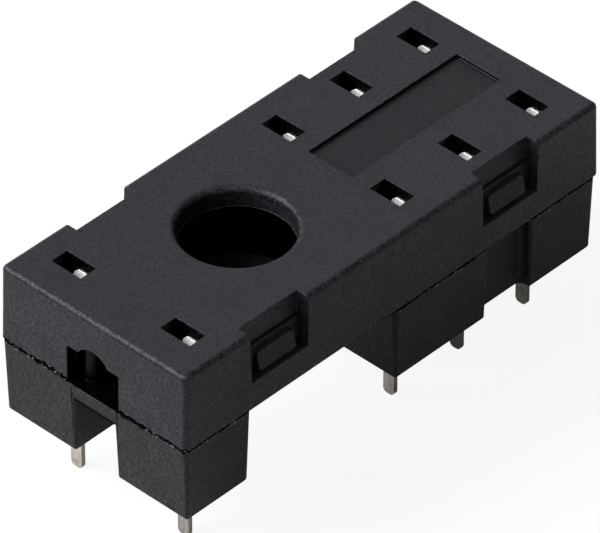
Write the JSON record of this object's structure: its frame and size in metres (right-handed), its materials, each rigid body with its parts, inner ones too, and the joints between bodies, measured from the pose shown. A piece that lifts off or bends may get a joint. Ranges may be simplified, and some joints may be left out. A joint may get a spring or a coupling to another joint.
{
  "type": "relay socket",
  "caption": "Circuit board socket for a plug-in relay, a black snap-together housing with stamped spring contacts and flat solder pins.",
  "frame": {"origin": "under the middle of the housing, at the level of the solder pin tips", "axes": "+X along the length from the coil end to the load end, +Y across the width, +Z from the circuit board up to the relay"},
  "size_m": [0.0302, 0.0128, 0.0131],
  "materials": {
    "black_plastic": "fine moulded grain",
    "tinned_contact": "dull tin over copper alloy"
  },
  "bodies": {
    "root": {"upper_housing": "black_plastic", "lower_housing": "black_plastic", "coil_contact_left": "tinned_contact", "coil_contact_right": "tinned_contact", "normally_closed_contact_left": "tinned_contact", "normally_closed_contact_right": "tinned_contact", "common_contact_left": "tinned_contact", "common_contact_right": "tinned_contact", "normally_open_contact_left": "tinned_contact", "normally_open_contact_right": "tinned_contact"}
  },
  "joints": []
}
